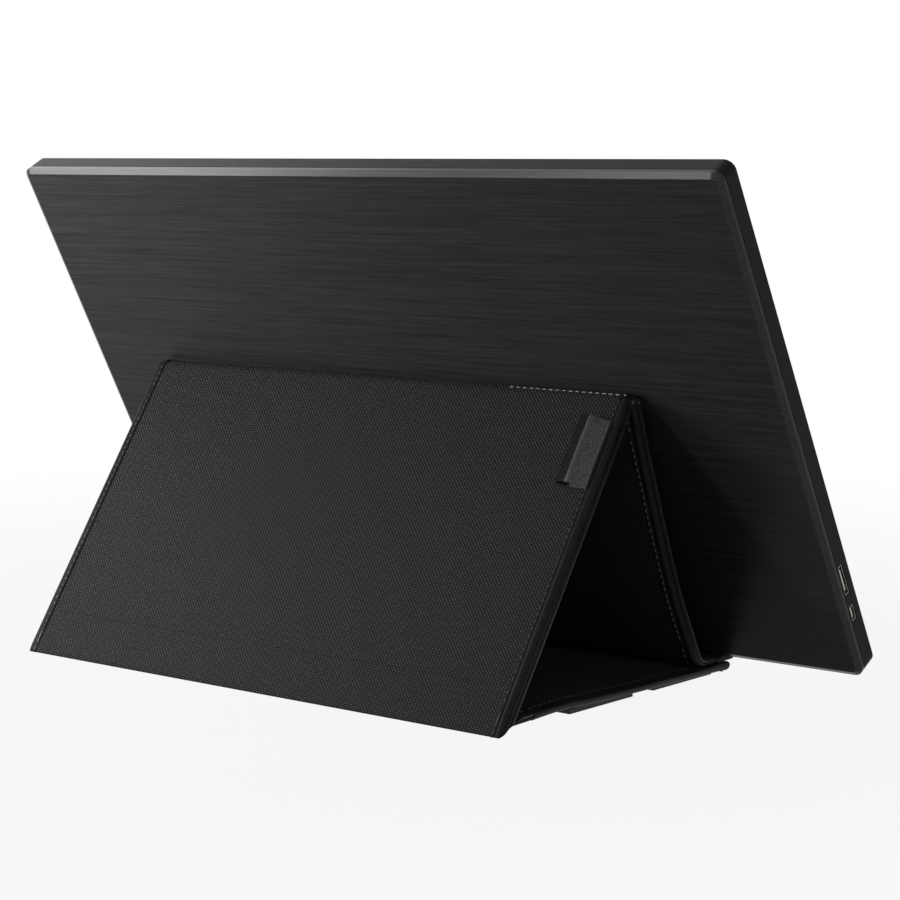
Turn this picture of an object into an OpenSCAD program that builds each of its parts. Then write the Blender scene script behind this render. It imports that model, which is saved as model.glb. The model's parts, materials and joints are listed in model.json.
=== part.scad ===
// Portable 15.6 inch class monitor standing on its padded carrying cover.
// The cover is folded into a triangular prism: a base lies on the desk, a
// rear panel rises from its back edge, a support panel comes down from the
// apex and ends in a foot and a raised lip that hold the monitor's lower
// edge. The monitor leans back on the apex with its screen facing -Y.
// X runs along the screen, Y to the rear, Z up; the desk is Z = 0.

/* [Monitor] */
// Width of the monitor
monitor_w = 382; // [360:1:400]
// Height of the monitor, lower edge to upper edge
monitor_h = 236; // [225:1:250]
// Thickness of the monitor, back face to front face
monitor_t = 12; // [12:0.5:15]
// Corner radius, seen from the front
monitor_corner_r = 4.5; // [4:0.5:12]
// Width of the sloped edge around the back face, measured across the back
back_edge_in = 2.4; // [1:0.1:3.5]
// Depth of the sloped edge around the back face
back_edge_deep = 1.4; // [0.6:0.1:2]
// Depth of the rear cover, back face to seam
rear_cover_deep = 3.2; // [2.8:0.1:4.2]
// Wall thickness of the two housing halves
shell_wall = 1.2; // [1:0.1:1.4]
// Side wall thickness of the two housing halves
side_wall = 1.6; // [1.2:0.1:2]
// Width of the shadow groove along the seam
seam_groove = 0.35; // [0.2:0.05:0.5]
// Edge break around the front face
front_edge = 0.8; // [0.4:0.1:1.2]

/* [Screen] */
// Frame width beside the picture
bezel_side = 18.5; // [16:0.5:24]
// Frame width above the picture
bezel_top = 16.5; // [14:0.5:22]
// Frame width below the picture
bezel_bottom = 25.5; // [24:0.5:32]
// How far the glass reaches under the frame on each side
glass_overlap = 4; // [2:0.5:5]
// Thickness of the liquid crystal glass
glass_t = 1; // [0.7:0.1:1.2]
// Thickness of the diffuser and prism films
films_t = 0.6; // [0.4:0.1:0.7]
// Thickness of the light guide
guide_t = 1.6; // [1.2:0.1:1.7]
// Thickness of the sheet metal tray behind the light guide
tray_t = 0.4; // [0.3:0.1:0.5]
// Height of the LED bar below the light guide
led_bar_h = 2.4; // [1.8:0.1:2.6]

/* [Electronics] */
// Length of the main board along the screen's width
main_board_w = 74; // [60:1:90]
// Height of the main board
main_board_h = 52; // [48:1:70]
// Lower edge of the main board above the monitor's lower edge
main_board_up = 14; // [13:0.5:16]
// Thickness of the circuit boards
board_t = 1; // [0.8:0.1:1]
// Height of the posts that carry the main board, above the back wall
board_post_h = 2.2; // [2:0.1:2.2]
// Height of the data port's middle above the monitor's lower edge
data_port_up = 45.7; // [43:0.1:50]
// Length of the data port's mouth
data_port_l = 14; // [12:0.5:16]
// Height of the video port's middle above the monitor's lower edge
video_port_up = 29.4; // [27:0.1:31]
// Length of the video port's mouth
video_port_l = 7; // [6:0.5:8]
// Outer height of both port shells
port_h = 3; // [2.6:0.1:3]
// Depth of both port shells
port_deep = 9; // [7:0.5:11]
// Wall of the port shells
port_wall = 0.35; // [0.3:0.05:0.4]

/* [Keys] */
// Distance of the power key from the monitor's side
key_side = 30; // [26:1:40]
// Distance between keys
key_pitch = 15; // [13:0.5:18]
// Height of the keys' middle above the monitor's lower edge
key_up = 11; // [9:0.5:13]
// Length of a key
key_l = 9; // [6:0.5:10]
// Height of a key
key_h = 3; // [2.4:0.1:4]
// How far a key stands out of the front face
key_proud = 0.7; // [0.6:0.1:1]
// Travel of a key
key_travel = 0.5; // [0.3:0.1:0.5]

/* [Cover] */
// Width of the cover, along the screen
cover_w = 268; // [240:1:290]
// How far the cover's middle is off the monitor's middle
cover_shift = 11; // [0:1:20]
// Length of the rear panel, fold to fold
rear_panel_l = 139.6; // [132:0.2:148]
// Length of the support panel, fold to fold
support_panel_l = 123.7; // [118:0.1:132]
// Thickness of the two padded panels
panel_t = 5; // [4.5:0.1:5.5]
// Distance from the lip fold back to the front edge of the base
base_back = 1.8; // [0.5:0.1:3]
// Distance from the rear fold to the support panel's lower fold
prism_l = 130.6; // [124:0.2:138]
// Thickness of the foot and the lip
foot_t = 2.3; // [2:0.1:2.8]
// Length of the lip
lip_l = 14; // [8:0.5:18]
// Lean of the lip from the desk, standing
lip_angle = 54; // [45:1:58]
// Distance from the support fold to the monitor's lower rear edge
seat_l = 15.2; // [13.5:0.1:16]

/* [Cover layers] */
// Thickness of the woven outer fabric
fabric_t = 0.9; // [0.6:0.05:1.1]
// Thickness of the soft lining
lining_t = 0.6; // [0.4:0.05:0.8]
// Thickness of the stiff boards in the base and the padded panels
board_sheet_t = 1.6; // [1.2:0.1:2]
// Width of the edge binding on a panel's face
binding_w = 5.5; // [4:0.5:9]
// Thickness of the binding around a panel's edge
binding_edge = 1.2; // [0.8:0.1:1.6]
// Thickness of the grip pads under the base
pad_t = 2; // [1.5:0.1:2.5]
// Size of the grip pads along the base
pad_l = 44; // [30:1:60]
// Width of the grip pads
pad_w = 18; // [10:1:30]
// Diameter of the closing magnets
magnet_d = 10; // [6:0.5:12]
// Thickness of the closing magnets
magnet_t = 1; // [0.6:0.1:1]
// Distance between the two closing magnets
magnet_pitch = 180; // [100:5:200]

/* [Label] */
// Length of the label tag along the rear panel
tag_l = 31; // [24:1:40]
// Width of the label tag
tag_w = 13; // [10:0.5:18]
// How far the looped label tag stands off the panel
tag_rise = 4.5; // [4:0.5:6]
// Thickness of the label tag's leather
tag_t = 0.7; // [0.5:0.1:1]
// Distance from the apex fold to the label tag
tag_from_apex = 10; // [4:1:20]

/* [Clearances] */
// Gap between the fold of one panel and the edge of the next
fold_gap = 0.3; // [0.2:0.05:0.4]
// Gap between the foot and the base, taken up as the cover is folded
foot_gap = 1.15; // [1.1:0.05:1.3]
// Gap between the monitor and what it rests on
rest_gap = 0.2; // [0.1:0.05:0.3]
// Gap between the lip and the monitor's lower front edge
lip_gap = 1.4; // [1:0.1:3]
// Gap around a key in the front face
key_gap = 0.25; // [0.2:0.05:0.35]
// Gap around a port in the side wall
port_gap = 0.15; // [0.1:0.05:0.2]
// Gap around a magnet in its pocket
magnet_gap = 0.1; // [0.05:0.05:0.15]
// Gap between parts of the screen side by side
stack_gap = 0.2; // [0.1:0.05:0.3]
// Gap between a screw and its hole
screw_gap = 0.05; // [0.03:0.01:0.08]

/* [Hidden] */
$fn = 48;
eps = 0.01;
cut_past = 1;

// ---- Side profile of the cover: [y, z] points before centring ----
base_t = fabric_t + board_sheet_t + lining_t;
rear_pivot = [0, pad_t + base_t];
foot_top = rear_pivot[1] + foot_gap + foot_t;
foot_pivot = [-prism_l, foot_top];

// The apex closes the triangle of the rear fold, the apex and the support fold.
// The support fold lies on the support panel's outer face, panel_t off the
// inner face that carries the apex pivot.
span = norm(foot_pivot - rear_pivot);
support_reach = norm([support_panel_l, panel_t]);
base_dir = atan2(foot_pivot[1] - rear_pivot[1], foot_pivot[0] - rear_pivot[0]);
rear_corner = acos((rear_panel_l ^ 2 + span ^ 2 - support_reach ^ 2) / (2 * rear_panel_l * span));
rear_dir = base_dir - rear_corner;
apex_pivot = rear_pivot + rear_panel_l * unit(rear_dir);
support_dir = atan2(foot_pivot[1] - apex_pivot[1], foot_pivot[0] - apex_pivot[0])
              + atan(panel_t / support_panel_l) + 360;

// The monitor stands on the foot and leans on the apex fold.
edge_low = back_edge_deep;
apex_far = panel_t + rest_gap;
monitor_foot_y = foot_pivot[0] - seat_l;
lean_guess = tangent_angle(foot_top);
monitor_foot_z = foot_top + rest_gap - edge_low * cos(lean_guess);
monitor_lean = tangent_angle(monitor_foot_z);

// The lip rises just clear of the monitor's lower front edge, and the base
// ends a little behind the lip fold.
lip_dir = 180 - lip_angle;
front_corner = [monitor_foot_y, monitor_foot_z]
               + (monitor_t - front_edge) * [-sin(monitor_lean), cos(monitor_lean)];
lip_pivot = [front_corner[0] + ((front_corner[1] - foot_top) * normal(lip_dir)[1] - lip_gap)
             / normal(lip_dir)[0], foot_top];
foot_l = foot_pivot[0] - lip_pivot[0];
base_l = -lip_pivot[0] - base_back;

// Rearmost and foremost points set the middle of the object along Y.
heel_s = (fold_gap - rear_pivot[1] - panel_t * normal(rear_dir)[1]) / unit(rear_dir)[1];
heel_corner = at(rear_pivot, rear_dir, heel_s, panel_t);
lip_tip = at(lip_pivot, lip_dir, lip_l, -foot_t);
centre_y = (heel_corner[0] + lip_tip[0]) / 2;

// ---- Inside the cover ----
magnet_y = foot_pivot[0] - foot_l / 2;
base_magnet_z = rear_pivot[1] - lining_t - magnet_t;
foot_board_t = magnet_t + 0.2;
foot_board_low = foot_top - (foot_t + foot_board_t) / 2;
lip_skin = (foot_t - foot_board_t) / 2;
pad_inset = binding_w;
tag_seam_gap = 0.1;
tag_bend = 3;
tag_shoulder = 4.5;
front_pad_in = 6;
pad_pitch = 59;
front_pad_y = -base_l + front_pad_in;
rear_pad_y = front_pad_y + pad_pitch;

// ---- Widths ----
cover_x0 = cover_shift - cover_w / 2;
cover_x1 = cover_shift + cover_w / 2;

// ---- Depths inside the monitor, from the back face ----
glass_front = monitor_t - shell_wall;
films_front = glass_front - glass_t;
guide_front = films_front - films_t;
tray_front = guide_front - guide_t;
tray_back = tray_front - tray_t;
board_back = shell_wall + board_post_h;
board_front = board_back + board_t;
foam_strip_t = 0.6;
rib_front = tray_back - foam_strip_t;

// ---- Places across the monitor ----
window_w = monitor_w - 2 * bezel_side;
window_h = monitor_h - bezel_top - bezel_bottom;
glass_w = window_w + 2 * glass_overlap;
glass_h = window_h + 2 * glass_overlap;
glass_low = bezel_bottom - glass_overlap;
guide_in = 1;
guide_w = glass_w - 2 * guide_in;
guide_low = glass_low + led_bar_h - guide_in;
guide_h = glass_low + glass_h - guide_low - guide_in;
inner_side = monitor_w / 2 - side_wall;
board_x0 = -inner_side + 2;
board_x1 = board_x0 + main_board_w;
board_edge = 4;
port_sunk = 0.3;
port_x0 = -monitor_w / 2 + port_sunk;
port_back = board_front;
port_end_wall = 1.5;
port_post_gap = 8;
tongue_sunk = 0.5;
tongue_t = 0.6;
post_r = 2.2;
post_floor = 0.4;
screw_r = 0.8;
screw_tip = shell_wall + post_floor + 0.2;
screw_head_r = 1.5;
screw_head_t = 0.7;
can_l = 26;
can_h = 20;
can_gap = 0.5;
rib_w = 3;
rib_in = 10;
rib_low = glass_low + rib_in;
rib_l = glass_h - 2 * rib_in;
rib_x = [-0.15 * monitor_w, 0.1 * monitor_w, 0.35 * monitor_w];
key_x = [for (i = [0:2]) monitor_w / 2 - key_side - i * key_pitch];
key_flange = 0.8;
key_flange_t = 0.6;
key_stop_gap = 0.15;
key_flange_front = glass_front - key_stop_gap;
dome_t = 0.55;
dome_r = 2;
key_board_front = key_flange_front - key_flange_t - key_travel - key_stop_gap - dome_t;
key_board_back = key_board_front - board_t;
key_board_h = 8;
key_board_x0 = key_x[2] - key_l / 2 - board_edge;
key_board_x1 = key_x[0] + key_l / 2 + board_edge;
key_post_r = 1.2;
key_post_in = 1.6;
driver_t = 0.9;
driver_up = 5;
driver_h = main_board_up - driver_up - 1.2;
driver_x0 = -glass_w / 2 + 12;
driver_x1 = key_board_x0 - 6;
chip_l = 10;
chip_t = 0.8;
flex_t = 0.2;
panel_flex_w = 14;
key_flex_w = 3;

// ---- Colours ----
shell_colour = [0.13, 0.13, 0.14];
weave_colour = [0.10, 0.10, 0.10];
binding_colour = [0.06, 0.06, 0.06];
lining_colour = [0.17, 0.17, 0.18];
board_colour = [0.55, 0.52, 0.47];
metal_colour = [0.72, 0.73, 0.75];
circuit_colour = [0.07, 0.27, 0.16];

// ---- Geometry helpers ----
// Unit vector at an angle in the side profile, measured from +Y towards +Z
function unit(a) = [cos(a), sin(a)];
// Outward normal of a panel that runs in direction a
function normal(a) = [sin(a), -cos(a)];
// Point at distance s along a panel and t outward from its pivot
function at(p, a, s, t) = p + s * unit(a) + t * normal(a);
// Points along an arc about c, from angle a0 to a1
function arc(c, r, a0, a1) = [for (i = [0:8]) c + r * unit(a0 + (a1 - a0) * i / 8)];
// Lean of a plane that starts at height z over the seat and clears the apex fold
function tangent_angle(z) =
    let (d = apex_pivot - [monitor_foot_y, z])
    atan2(d[1], d[0]) + asin(apex_far / norm(d));
// Outline of a layer of a panel between two distances along it and two depths
function layer(p, a, s0, s1, t0, t1) =
    [at(p, a, s0, t0), at(p, a, s1, t0), at(p, a, s1, t1), at(p, a, s0, t1)];

// Extrudes a side profile along X between two places, centred along Y
module along_x(x0, x1) {
    translate([x0, -centre_y, 0])
        rotate([90, 0, 90])
            linear_extrude(x1 - x0) children();
}

// A profile at both ends of the cover, wide enough for the binding
module both_edges() {
    along_x(cover_x0, cover_x0 + binding_w) children();
    along_x(cover_x1 - binding_w, cover_x1) children();
}

// The stretch of the cover between its two bindings
module between_bindings() {
    along_x(cover_x0 + binding_w, cover_x1 - binding_w) children();
}

// The stretch that the stiff core takes, into the bindings
module core_stretch() {
    along_x(cover_x0 + binding_edge, cover_x1 - binding_edge) children();
}

// Disc around a fold in the side profile
module fold_disc(p, r) {
    translate(p) circle(r);
}

// ---- Side profiles of the cover's panels ----
// Each takes two depths, and runs past its ends by a margin where it is a cut.
module base_profile(t0, t1, past = 0) {
    polygon(layer(rear_pivot, 180, fold_gap - past, base_l + past, t0 - base_t, t1 - base_t));
}

module rear_profile(t0, t1, past = 0) {
    polygon(layer(rear_pivot, rear_dir, -past, rear_panel_l + past, t0, t1));
}

module support_profile(t0, t1, past = 0) {
    difference() {
        polygon(layer(apex_pivot, support_dir, -past, support_panel_l + past, t0, t1));
        fold_disc(apex_pivot, panel_t + fold_gap - past);
        fold_disc(foot_pivot, foot_t + fold_gap - past);
    }
}

// The foot with its quarter-round rear and front folds
module foot_profile(inset = 0) {
    r = foot_t - inset;
    intersection() {
        union() {
            translate(lip_pivot - [0, r]) square([foot_l, r]);
            fold_disc(foot_pivot, r);
            fold_disc(lip_pivot, r);
        }
        translate(lip_pivot - [r, r]) square([foot_l + 2 * r, r - inset]);
    }
}

module lip_profile(t0, t1) {
    difference() {
        polygon(layer(lip_pivot, lip_dir, 0, lip_l, t0 - foot_t, t1 - foot_t));
        fold_disc(lip_pivot, foot_t + fold_gap);
    }
}

// ---- Base ----
module base_core(past = 0) {
    base_profile(fabric_t, fabric_t + board_sheet_t, past);
}

module magnet_places(y) {
    for (side = [-1, 1])
        translate([cover_shift + side * magnet_pitch / 2, y - centre_y, 0]) children();
}

module base_board() {
    color(board_colour)
        difference() {
            core_stretch() base_core();
            magnet_places(magnet_y)
                translate([0, 0, base_magnet_z - magnet_gap])
                    cylinder(h = magnet_t + magnet_gap + eps, d = magnet_d + 2 * magnet_gap);
        }
}

module base_shell() {
    color(weave_colour) between_bindings() base_profile(0, fabric_t);
}

module base_lining() {
    color(lining_colour) between_bindings() base_profile(base_t - lining_t, base_t);
}

module base_binding() {
    color(binding_colour)
        difference() {
            both_edges() base_profile(0, base_t);
            core_stretch() base_core(cut_past);
        }
}

module base_magnets() {
    color(metal_colour)
        magnet_places(magnet_y)
            translate([0, 0, base_magnet_z]) cylinder(h = magnet_t, d = magnet_d);
}

// Two pads near the front edge and two further back, all set in from the sides
module grip_pads() {
    color("dimgray")
        for (y = [front_pad_y, rear_pad_y], x = [cover_x0 + pad_inset, cover_x1 - pad_inset - pad_w])
            translate([x, y - centre_y, 0]) cube([pad_w, pad_l, pad_t]);
}

// ---- Rear panel ----
module rear_board() {
    color(board_colour) core_stretch() rear_profile(lining_t, lining_t + board_sheet_t);
}

module rear_foam() {
    color("lightgray")
        core_stretch() rear_profile(lining_t + board_sheet_t, panel_t - fabric_t);
}

module rear_shell() {
    color(weave_colour) between_bindings() rear_profile(panel_t - fabric_t, panel_t);
}

module rear_lining() {
    color(lining_colour) between_bindings() rear_profile(0, lining_t);
}

module rear_binding() {
    color(binding_colour)
        difference() {
            both_edges() rear_profile(0, panel_t);
            core_stretch() rear_profile(lining_t, panel_t - fabric_t, cut_past);
        }
}

// Folded fabric below the rear panel, down to the desk
module heel_fold() {
    color(weave_colour)
        along_x(cover_x0, cover_x1)
            polygon([rear_pivot, [rear_pivot[0], fold_gap], heel_corner,
                     at(rear_pivot, rear_dir, 0, panel_t)]);
}

// Rounded fold over the apex, around the apex pivot; the inner corner stays open
module apex_fold() {
    far = 3 * panel_t;
    color(weave_colour)
        along_x(cover_x0, cover_x1)
            difference() {
                fold_disc(apex_pivot, panel_t);
                polygon([apex_pivot, at(apex_pivot, support_dir, far, 0),
                         at(apex_pivot, rear_dir + 180, far, 0)]);
                polygon(layer(apex_pivot, rear_dir, -far, 0, 0, far));
            }
}

// Blank label tag sewn in under the right binding
// A strip of leather looped back on itself, with both ends in the binding's seam
module label_tag() {
    low = at(rear_pivot, rear_dir, rear_panel_l - tag_from_apex - tag_l, panel_t);
    shoulder = [tag_shoulder, tag_rise - tag_bend];
    far_end = [tag_w - tag_rise / 2, tag_rise / 2];
    color(binding_colour)
        translate([cover_x0 + binding_w, low[0] - centre_y, low[1]])
            rotate([rear_dir - 90, 0, 0])
                linear_extrude(tag_l)
                    polygon(concat([[0, 2 * tag_t + tag_seam_gap]],
                                   arc(shoulder, tag_bend, 150, 90),
                                   arc(far_end, tag_rise / 2, 90, -90),
                                   [[0, 0], [0, tag_t]],
                                   arc(far_end, tag_rise / 2 - tag_t, -90, 90),
                                   arc(shoulder, tag_bend - tag_t, 90, 150),
                                   [[0, tag_t + tag_seam_gap]]));
}

// ---- Support panel ----
module support_board() {
    color(board_colour)
        core_stretch() support_profile(fabric_t, fabric_t + board_sheet_t);
}

module support_foam() {
    color("lightgray")
        core_stretch() support_profile(fabric_t + board_sheet_t, panel_t - lining_t);
}

module support_shell() {
    color(weave_colour) between_bindings() support_profile(0, fabric_t);
}

module support_lining() {
    color(lining_colour) between_bindings() support_profile(panel_t - lining_t, panel_t);
}

module support_binding() {
    color(binding_colour)
        difference() {
            both_edges() support_profile(0, panel_t);
            core_stretch() support_profile(fabric_t, panel_t - lining_t, cut_past);
        }
}

// ---- Foot and lip ----
module foot_core() {
    translate([lip_pivot[0], foot_board_low]) square([foot_l, foot_board_t]);
}

module foot_board() {
    color(board_colour)
        difference() {
            core_stretch() foot_core();
            magnet_places(magnet_y)
                translate([0, 0, foot_board_low - eps])
                    cylinder(h = magnet_t + magnet_gap + eps, d = magnet_d + 2 * magnet_gap);
        }
}

module foot_sleeve() {
    color(weave_colour)
        difference() {
            between_bindings() foot_profile();
            core_stretch() foot_core();
        }
}

module foot_binding() {
    color(binding_colour)
        difference() {
            both_edges() foot_profile();
            core_stretch() foot_core();
        }
}

module foot_magnets() {
    color(metal_colour)
        magnet_places(magnet_y)
            translate([0, 0, foot_board_low]) cylinder(h = magnet_t, d = magnet_d);
}

module lip_core() {
    intersection() {
        lip_profile(lip_skin, foot_t - lip_skin);
        polygon(layer(lip_pivot, lip_dir, 0, lip_l - lip_skin, -foot_t, 0));
    }
}

module lip_board() {
    color(board_colour) core_stretch() lip_core();
}

module lip_sleeve() {
    color(weave_colour)
        difference() {
            between_bindings() lip_profile(0, foot_t);
            core_stretch() lip_core();
        }
}

module lip_binding() {
    color(binding_colour)
        difference() {
            both_edges() lip_profile(0, foot_t);
            core_stretch() lip_core();
        }
}

// ---- Monitor: drawn flat, back face down, lower edge at Y = 0 ----
module on_stand() {
    translate([0, monitor_foot_y - centre_y, monitor_foot_z])
        rotate([monitor_lean, 0, 0]) children();
}

// Plate with round corners
module rounded_plate(w, h, r, t) {
    for (x = [-w / 2 + r, w / 2 - r], y = [r, h - r])
        translate([x, y, 0]) cylinder(h = t, r = r);
    translate([-w / 2 + r, 0, 0]) cube([w - 2 * r, h, t]);
    translate([-w / 2, r, 0]) cube([w, h - 2 * r, t]);
}

// Plate with round corners whose lower edge slopes in by c over a depth of d
module sloped_plate(w, h, r, t, c, d) {
    for (x = [-w / 2 + r, w / 2 - r], y = [r, h - r])
        translate([x, y, 0]) {
            cylinder(h = d, r1 = r - c, r2 = r);
            translate([0, 0, d]) cylinder(h = t - d, r = r);
        }
    translate([-w / 2 + r, 0, 0])
        rotate([90, 0, 90])
            linear_extrude(w - 2 * r)
                polygon([[c, 0], [0, d], [0, t], [h, t], [h, d], [h - c, 0]]);
    translate([-w / 2, h - r, 0])
        rotate([90, 0, 0])
            linear_extrude(h - 2 * r)
                polygon([[c, 0], [0, d], [0, t], [w, t], [w, d], [w - c, 0]]);
}

// Places of the posts that carry the main board
module board_post_places() {
    for (x = [port_x0 + port_deep + port_post_gap, board_x1 - board_edge],
         y = [main_board_up + board_edge, main_board_up + main_board_h - board_edge])
        translate([x, y, 0]) children();
}

// Rear half of the housing, with ribs behind the screen and posts for the main board
module rear_cover() {
    color(shell_colour) on_stand() {
        difference() {
            sloped_plate(monitor_w, monitor_h, monitor_corner_r, rear_cover_deep,
                         back_edge_in, back_edge_deep);
            translate([0, back_edge_in, shell_wall])
                rounded_plate(monitor_w - 2 * back_edge_in, monitor_h - 2 * back_edge_in,
                              monitor_corner_r - back_edge_in, rear_cover_deep);
        }
        for (x = rib_x)
            translate([x - rib_w / 2, rib_low, shell_wall - eps])
                cube([rib_w, rib_l, rib_front - shell_wall + eps]);
        difference() {
            board_post_places()
                translate([0, 0, shell_wall - eps]) cylinder(h = board_post_h + eps, r = post_r);
            board_post_places()
                translate([0, 0, shell_wall + post_floor])
                    cylinder(h = board_post_h, r = screw_r + screw_gap);
        }
    }
}

// Hole in the side wall for a port
module port_hole(up, l) {
    translate([-monitor_w / 2 - 1, up - l / 2 - port_gap, port_back - port_gap])
        cube([side_wall + 2, l + 2 * port_gap, port_h + 2 * port_gap]);
}

// Key outline with round ends, grown by a margin
module key_plate(x, margin, t) {
    r = key_h / 2 + margin;
    for (side = [-1, 1])
        translate([x + side * (key_l - key_h) / 2, key_up, 0]) cylinder(h = t, r = r);
    translate([x - (key_l - key_h) / 2, key_up - r, 0]) cube([key_l - key_h, 2 * r, t]);
}

module front_frame() {
    frame_t = monitor_t - rear_cover_deep;
    inner_r = monitor_corner_r - side_wall;
    color(shell_colour) on_stand() {
        difference() {
            union() {
                translate([0, seam_groove, rear_cover_deep])
                    rounded_plate(monitor_w - 2 * seam_groove, monitor_h - 2 * seam_groove,
                                  monitor_corner_r - seam_groove, seam_groove + eps);
                translate([0, 0, monitor_t])
                    rotate([0, 180, 0])
                        sloped_plate(monitor_w, monitor_h, monitor_corner_r, frame_t - seam_groove,
                                     front_edge, front_edge);
            }
            translate([0, side_wall, rear_cover_deep - eps])
                rounded_plate(monitor_w - 2 * side_wall, monitor_h - 2 * side_wall, inner_r,
                              glass_front - rear_cover_deep + eps);
            translate([-window_w / 2, bezel_bottom, glass_front - eps])
                cube([window_w, window_h, shell_wall + 1]);
            port_hole(data_port_up, data_port_l);
            port_hole(video_port_up, video_port_l);
            for (x = key_x)
                translate([0, 0, glass_front - eps]) key_plate(x, key_gap, shell_wall + 1);
        }
        for (x = [key_board_x0 + key_post_in, key_board_x1 - key_post_in])
            translate([x, key_up, key_board_front])
                cylinder(h = glass_front - key_board_front + eps, r = key_post_r);
    }
}

// ---- Screen ----
module screen_glass() {
    color([0.03, 0.03, 0.04]) on_stand()
        translate([-glass_w / 2, glass_low, films_front]) cube([glass_w, glass_h, glass_t]);
}

module film_stack() {
    color("white") on_stand()
        translate([-guide_w / 2, guide_low, guide_front]) cube([guide_w, guide_h, films_t]);
}

module light_guide() {
    color([0.85, 0.9, 0.92]) on_stand()
        translate([-guide_w / 2, guide_low, tray_front]) cube([guide_w, guide_h, guide_t]);
}

module led_bar() {
    color("gold") on_stand()
        translate([-guide_w / 2, guide_low - stack_gap - led_bar_h, tray_front])
            cube([guide_w, led_bar_h, guide_t]);
}

// Sheet metal tray with a low rim around the light guide and the LED bar
module panel_tray() {
    rim = tray_t + stack_gap;
    low = guide_low - stack_gap - led_bar_h - rim;
    high = guide_low + guide_h + rim;
    color(metal_colour) on_stand()
        difference() {
            translate([-guide_w / 2 - rim, low, tray_back])
                cube([guide_w + 2 * rim, high - low, films_front - tray_back]);
            translate([-guide_w / 2 - stack_gap, low + tray_t, tray_front])
                cube([guide_w + 2 * stack_gap, high - low - 2 * tray_t, monitor_t]);
        }
}

module foam_strips() {
    color("darkgray") on_stand()
        for (x = rib_x)
            translate([x - rib_w / 2, rib_low, rib_front]) cube([rib_w, rib_l, foam_strip_t]);
}

// ---- Electronics ----
module panel_driver() {
    color(circuit_colour) on_stand() {
        translate([driver_x0, driver_up, glass_front - driver_t])
            cube([driver_x1 - driver_x0, driver_h, driver_t]);
        for (i = [1:5])
            translate([driver_x0 + i * (driver_x1 - driver_x0) / 6 - chip_l / 2, driver_up + 1.5,
                       glass_front - driver_t - chip_t])
                cube([chip_l, driver_h - 3, chip_t + eps]);
    }
}

// Ribbon from the main board to the panel driver, folded once
module panel_flex() {
    v0 = driver_up + driver_h - 1.5;
    v1 = driver_up + driver_h + 0.4;
    v2 = main_board_up + 3;
    w1 = glass_front - driver_t;
    color([0.8, 0.5, 0.15]) on_stand()
        translate([board_x1 - 30, 0, 0])
            rotate([90, 0, 90])
                linear_extrude(panel_flex_w)
                    polygon([[v2, board_front], [v1, board_front], [v1, w1 - flex_t], [v0, w1 - flex_t],
                             [v0, w1], [v1 + flex_t, w1], [v1 + flex_t, board_front + flex_t],
                             [v2, board_front + flex_t]]);
}

module main_board() {
    color(circuit_colour) on_stand()
        difference() {
            translate([board_x0, main_board_up, board_back]) cube([main_board_w, main_board_h, board_t]);
            board_post_places()
                translate([0, 0, board_back - 1]) cylinder(h = board_t + 2, r = screw_r + screw_gap);
        }
}

module board_screws() {
    color(metal_colour) on_stand()
        board_post_places() {
            translate([0, 0, screw_tip]) cylinder(h = board_front - screw_tip + eps, r = screw_r);
            translate([0, 0, board_front]) cylinder(h = screw_head_t, r = screw_head_r);
        }
}

module shield_can() {
    color(metal_colour) on_stand()
        translate([board_x1 - can_l - 2 * board_edge, main_board_up + (main_board_h - can_h) / 2,
                   board_front])
            cube([can_l, can_h, tray_back - board_front - can_gap]);
}

// Open-ended port shell with its contact tongue
module port(up, l, tongue_l) {
    translate([port_x0, up - l / 2, port_back])
        difference() {
            cube([port_deep, l, port_h]);
            translate([-eps, port_wall, port_wall])
                cube([port_deep - port_end_wall, l - 2 * port_wall, port_h - 2 * port_wall]);
        }
    translate([port_x0 + tongue_sunk, up - tongue_l / 2, port_back + (port_h - tongue_t) / 2])
        cube([port_deep - tongue_sunk - eps, tongue_l, tongue_t]);
}

module data_port() {
    color(metal_colour) on_stand() port(data_port_up, data_port_l, data_port_l - 4);
}

module video_port() {
    color(metal_colour) on_stand() port(video_port_up, video_port_l, video_port_l - 2.5);
}

// ---- Keys ----
module key_board() {
    color(circuit_colour) on_stand() {
        translate([key_board_x0, key_up - key_board_h / 2, key_board_back])
            cube([key_board_x1 - key_board_x0, key_board_h, board_t]);
        for (x = key_x)
            translate([x, key_up, key_board_front - eps]) cylinder(h = dome_t + eps, r = dome_r);
    }
}

// Ribbon from the main board along the lower edge to the key board
module key_flex() {
    x0 = board_x1 - board_edge / 2;
    x1 = key_board_x0 - 1.5;
    x2 = key_board_x0 + 4;
    color([0.8, 0.5, 0.15]) on_stand()
        translate([0, main_board_up + key_flex_w + 0.4, 0])
            rotate([90, 0, 0])
                linear_extrude(key_flex_w)
                    polygon([[x0, board_front], [x1, board_front], [x1, key_board_back - flex_t],
                             [x2, key_board_back - flex_t], [x2, key_board_back],
                             [x1 - flex_t, key_board_back], [x1 - flex_t, board_front + flex_t],
                             [x0, board_front + flex_t]]);
}

// Key cap with the flange that keeps it behind the front face
module key(i) {
    color([0.2, 0.2, 0.21]) on_stand() {
        translate([0, 0, key_flange_front - eps])
            key_plate(key_x[i], 0, monitor_t + key_proud - key_flange_front + eps);
        translate([0, 0, key_flange_front - key_flange_t]) key_plate(key_x[i], key_flange, key_flange_t);
    }
}

module power_key() { key(0); }
module up_key() { key(1); }
module down_key() { key(2); }

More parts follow.
